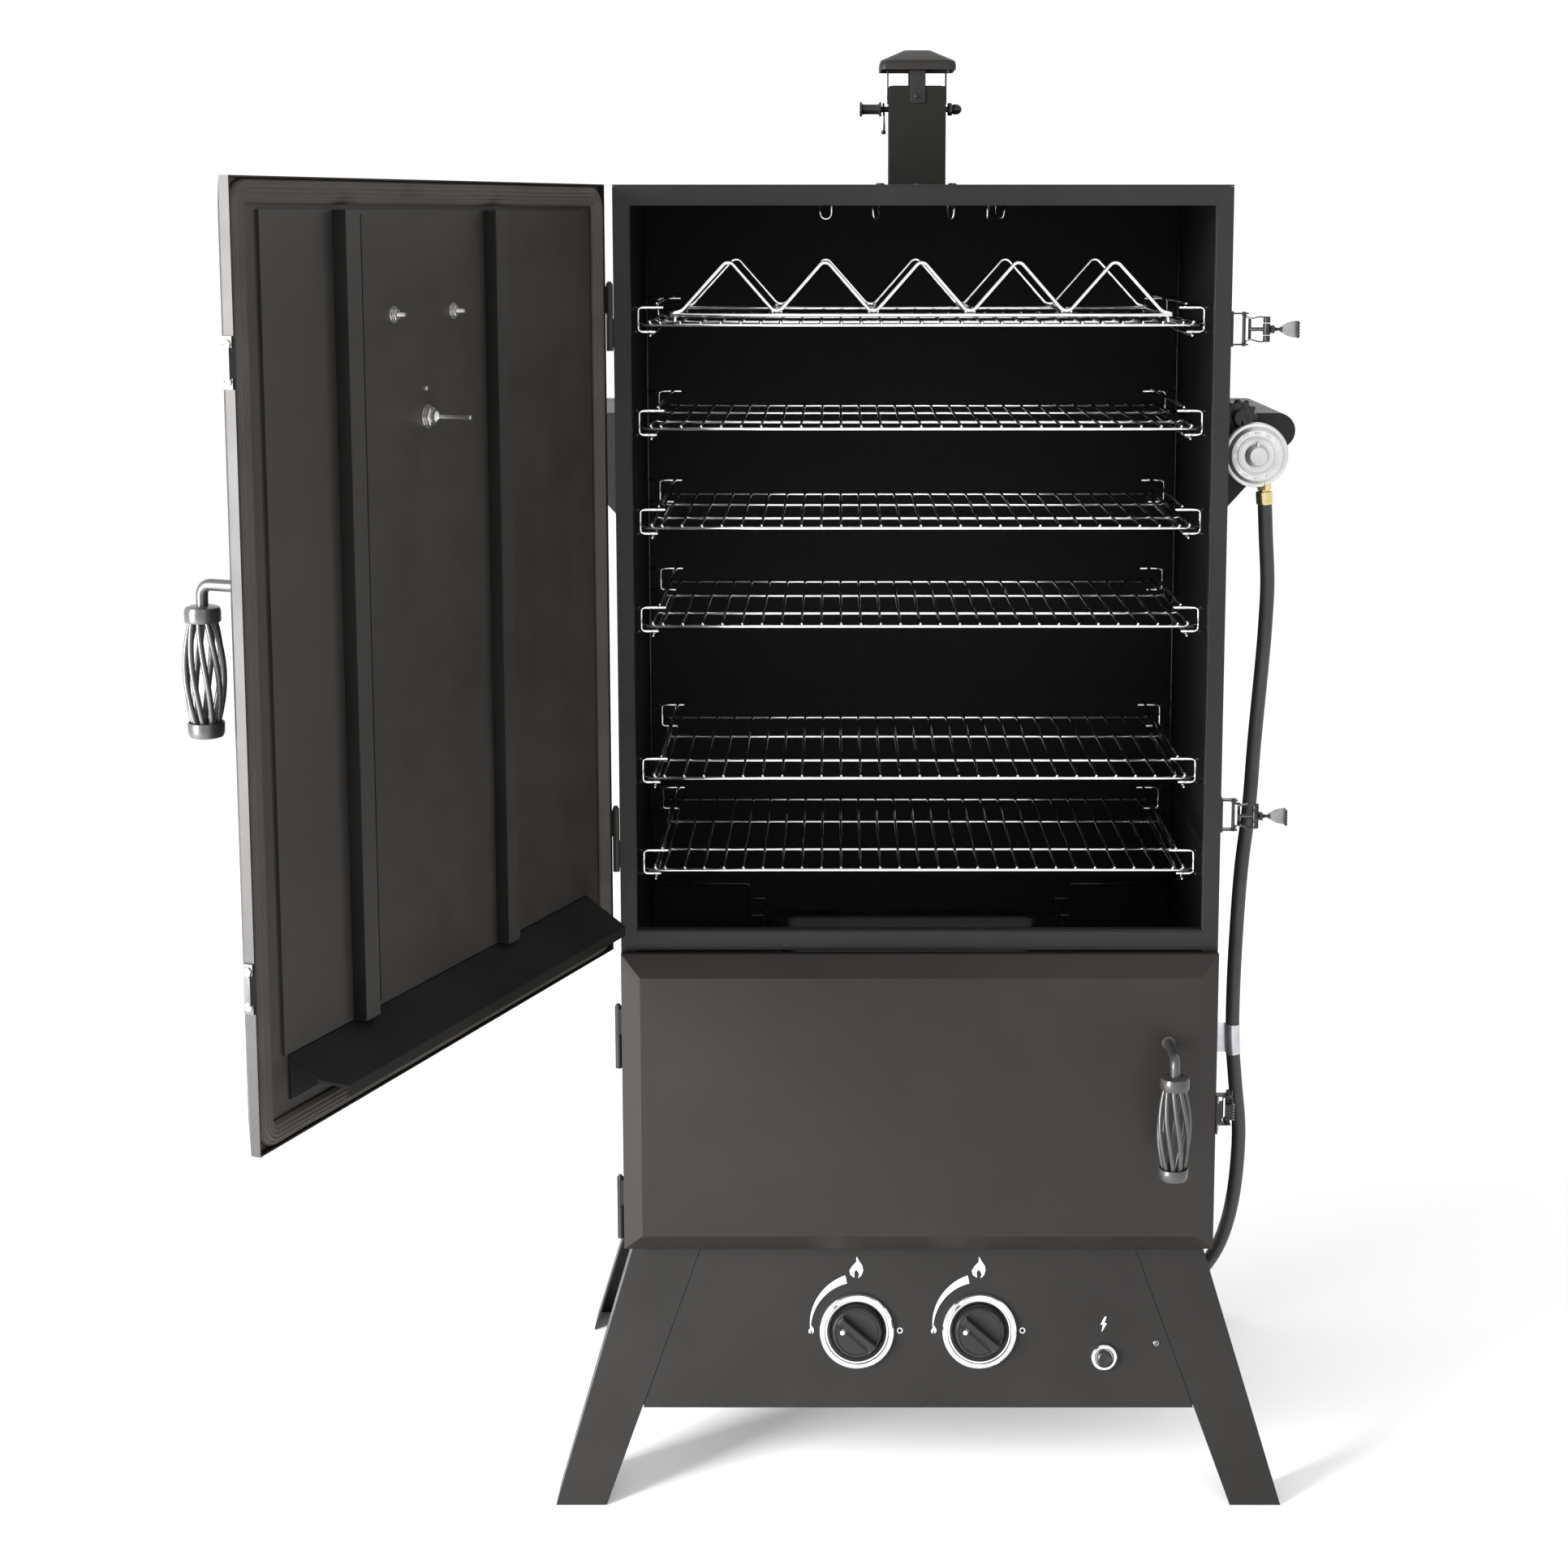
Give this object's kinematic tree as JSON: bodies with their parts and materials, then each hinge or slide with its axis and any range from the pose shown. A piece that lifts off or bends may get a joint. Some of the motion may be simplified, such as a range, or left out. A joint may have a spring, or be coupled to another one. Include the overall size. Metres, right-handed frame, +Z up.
{
  "type": "vertical water smoker",
  "caption": "Tall steel gas smoker cabinet on splayed legs, with two hinged doors, wire racks, a water pan, a chimney with a damper, and a sloping control panel.",
  "frame": {"origin": "on the ground, under the middle of the object's box without the hose and regulator, with the upper door open as at rest", "axes": "+Z up; -Y is the front, where the doors are; +X is to the right of a person facing the front"},
  "size_m": [1.0259, 1.0201, 1.539],
  "materials": {
    "black_paint": "satin black high-temperature paint with a fine orange peel",
    "inner_steel": "matte black inner sheet",
    "chrome_wire": "bright chrome plate",
    "seal": "dark brown-grey ribbed heat seal",
    "zinc_steel": "plated steel",
    "black_steel": "black plated steel",
    "cast_aluminium": "grey cast metal",
    "black_plastic": "moulded black plastic",
    "black_rubber": "smooth black hose rubber",
    "enamel": "glossy black enamel"
  },
  "bodies": {
    "cabinet": {"left_side_panel": "black_paint", "right_side_panel": "black_paint", "back_panel": "black_paint", "roof_panel": "black_paint", "floor_panel": "inner_steel", "front_frame": "black_paint", "chimney_stack": "black_paint", "chimney_cap": "black_paint", "left_side_handle": "black_paint", "right_side_handle": "black_paint", "front_left_leg": "black_paint", "front_right_leg": "black_paint", "rear_left_leg": "black_paint", "rear_right_leg": "black_paint", "control_panel": "black_paint", "left_knob_bezel": "chrome_wire", "right_knob_bezel": "chrome_wire", "igniter_bezel": "chrome_wire", "burner_assembly": "cast_aluminium", "left_rack_ladder": "chrome_wire", "right_rack_ladder": "chrome_wire", "hook_rack": "chrome_wire", "upper_latch_base": "black_steel", "middle_latch_base": "black_steel", "lower_latch_base": "black_steel", "gas_hose": "black_rubber", "regulator": "cast_aluminium"},
    "damper": {"chimney_damper": "black_steel"},
    "upper_door": {"upper_door_skin": "black_paint", "upper_door_gasket": "seal", "upper_door_liner": "inner_steel", "drip_deflector": "inner_steel", "upper_door_handle": "black_paint", "door_thermometer": "zinc_steel", "upper_door_keeper_top": "black_steel", "upper_door_keeper_bottom": "black_steel"},
    "lower_door": {"lower_door_skin": "black_paint", "lower_door_gasket": "seal", "lower_door_liner": "inner_steel", "lower_door_handle": "black_paint", "lower_door_keeper": "black_steel"},
    "water_pan": {"water_pan": "enamel"},
    "chip_tray": {"chip_tray": "zinc_steel"},
    "left_knob": {"left_knob": "black_plastic"},
    "right_knob": {"right_knob": "black_plastic"},
    "igniter_button": {"igniter_button": "black_plastic"},
    "regulator_nut": {"regulator_nut": "black_plastic"},
    "rack_1": {"rack_1": "chrome_wire", "rib_rack": "chrome_wire"},
    "rack_2": {"rack_2": "chrome_wire"},
    "rack_3": {"rack_3": "chrome_wire"},
    "rack_4": {"rack_4": "chrome_wire"},
    "rack_5": {"rack_5": "chrome_wire"},
    "rack_6": {"rack_6": "chrome_wire"},
    "upper_latch_lever": {"upper_latch_lever": "black_steel"},
    "upper_latch_hook": {"upper_latch_hook": "zinc_steel"},
    "middle_latch_lever": {"middle_latch_lever": "black_steel"},
    "middle_latch_hook": {"middle_latch_hook": "zinc_steel"},
    "lower_latch_lever": {"lower_latch_lever": "black_steel"},
    "lower_latch_hook": {"lower_latch_hook": "zinc_steel"}
  },
  "joints": [
    {"name": "upper_door_hinge", "type": "hinge", "parent": "cabinet", "child": "upper_door", "pos_m": [-0.2029, 0.0793, 0.997], "axis": [0, 0, -1], "range_deg": [-112.2, 57.8]},
    {"name": "lower_door_hinge", "type": "hinge", "parent": "cabinet", "child": "lower_door", "pos_m": [-0.2029, 0.0793, 0.4365], "axis": [0, 0, -1], "range_deg": [0, 170]},
    {"name": "damper_turn", "type": "hinge", "parent": "cabinet", "child": "damper", "pos_m": [0.1139, 0.2971, 1.4765], "axis": [1, 0, 0], "range_deg": [0, 90]},
    {"name": "rack_1_slide", "type": "slide", "parent": "cabinet", "child": "rack_1", "axis": [0, -1, 0], "range_m": [0, 0.28]},
    {"name": "rack_2_slide", "type": "slide", "parent": "cabinet", "child": "rack_2", "axis": [0, -1, 0], "range_m": [0, 0.28]},
    {"name": "rack_3_slide", "type": "slide", "parent": "cabinet", "child": "rack_3", "axis": [0, -1, 0], "range_m": [0, 0.28]},
    {"name": "rack_4_slide", "type": "slide", "parent": "cabinet", "child": "rack_4", "axis": [0, -1, 0], "range_m": [0, 0.28]},
    {"name": "rack_5_slide", "type": "slide", "parent": "cabinet", "child": "rack_5", "axis": [0, -1, 0], "range_m": [0, 0.28]},
    {"name": "rack_6_slide", "type": "slide", "parent": "cabinet", "child": "rack_6", "axis": [0, -1, 0], "range_m": [0, 0.28]},
    {"name": "water_pan_slide", "type": "slide", "parent": "cabinet", "child": "water_pan", "axis": [0, -1, 0], "range_m": [0, 0.035]},
    {"name": "chip_tray_slide", "type": "slide", "parent": "cabinet", "child": "chip_tray", "axis": [0, -1, 0], "range_m": [0, 0.035]},
    {"name": "left_knob_turn", "type": "hinge", "parent": "cabinet", "child": "left_knob", "pos_m": [0.0484, 0.07345, 0.181], "axis": [0, -0.9846, 0.175], "range_deg": [0, 200]},
    {"name": "right_knob_turn", "type": "hinge", "parent": "cabinet", "child": "right_knob", "pos_m": [0.1794, 0.07345, 0.181], "axis": [0, -0.9846, 0.175], "range_deg": [0, 200]},
    {"name": "igniter_press", "type": "slide", "parent": "cabinet", "child": "igniter_button", "axis": [0, 0.9846, -0.175], "range_m": [0, 0.004], "stiffness_N_per_m": 250},
    {"name": "regulator_nut_turn", "type": "hinge", "parent": "cabinet", "child": "regulator_nut", "pos_m": [0.4509, 0.1586, 1.1525], "axis": [0, 1, 0], "continuous": true},
    {"name": "upper_latch_lever_turn", "type": "hinge", "parent": "cabinet", "child": "upper_latch_lever", "pos_m": [0.4404, 0.0851, 1.248], "axis": [0, 0, -1], "range_deg": [-90, 15]},
    {"name": "upper_latch_hook_turn", "type": "hinge", "parent": "upper_latch_lever", "child": "upper_latch_hook", "pos_m": [0.4624, 0.0791, 1.248], "axis": [0, 0, 1], "range_deg": [-180, 30]},
    {"name": "middle_latch_lever_turn", "type": "hinge", "parent": "cabinet", "child": "middle_latch_lever", "pos_m": [0.4404, 0.0851, 0.743], "axis": [0, 0, -1], "range_deg": [-90, 15]},
    {"name": "middle_latch_hook_turn", "type": "hinge", "parent": "middle_latch_lever", "child": "middle_latch_hook", "pos_m": [0.4624, 0.0791, 0.743], "axis": [0, 0, 1], "range_deg": [-180, 30]},
    {"name": "lower_latch_lever_turn", "type": "hinge", "parent": "cabinet", "child": "lower_latch_lever", "pos_m": [0.4404, 0.0851, 0.423], "axis": [0, 0, -1], "range_deg": [0, 105]},
    {"name": "lower_latch_hook_turn", "type": "hinge", "parent": "lower_latch_lever", "child": "lower_latch_hook", "pos_m": [0.4464, 0.1071, 0.423], "axis": [0, 0, 1], "range_deg": [0, 210]}
  ],
  "couplings": [
    {"joint": "upper_latch_hook_turn", "follows": "upper_latch_lever_turn", "ratio": 2},
    {"joint": "middle_latch_hook_turn", "follows": "middle_latch_lever_turn", "ratio": 2},
    {"joint": "lower_latch_hook_turn", "follows": "lower_latch_lever_turn", "ratio": 2}
  ]
}
